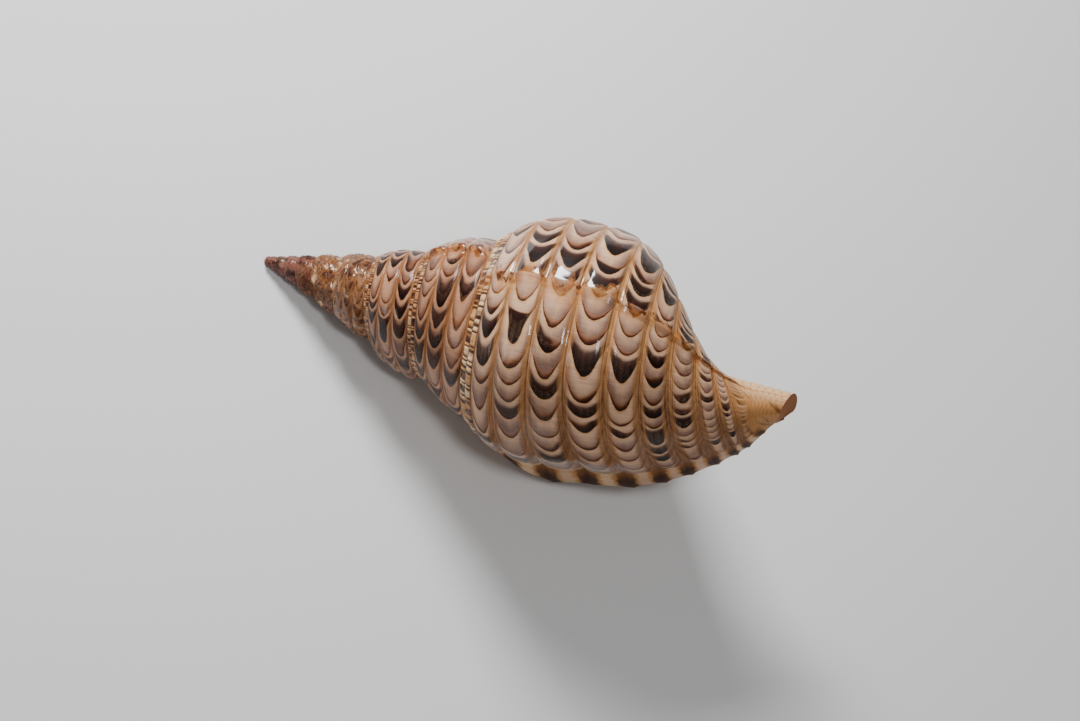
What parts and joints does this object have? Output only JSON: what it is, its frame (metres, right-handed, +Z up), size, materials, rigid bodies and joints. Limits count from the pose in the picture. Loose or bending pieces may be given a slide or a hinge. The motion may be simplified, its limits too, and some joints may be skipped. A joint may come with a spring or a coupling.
{
  "type": "triton shell",
  "caption": "Large spiral sea shell lying on its mouth: tall pointed spire, swollen last whorl with raised cords and varices, flared lip and short open canal.",
  "frame": {"origin": "bottom centre of the box of the shell at rest, on the surface it lies on", "axes": "+Z up, +X along the shell from the tip of the spire towards the canal, -Y towards the outer lip"},
  "size_m": [0.2806, 0.1312, 0.1391],
  "materials": {
    "shell": "glossy natural shell, pinkish beige with dark brown crescent scales on each cord, golden tan grooves, pink tip and orange mouth"
  },
  "bodies": {
    "root": {"shell": "shell"}
  },
  "joints": []
}
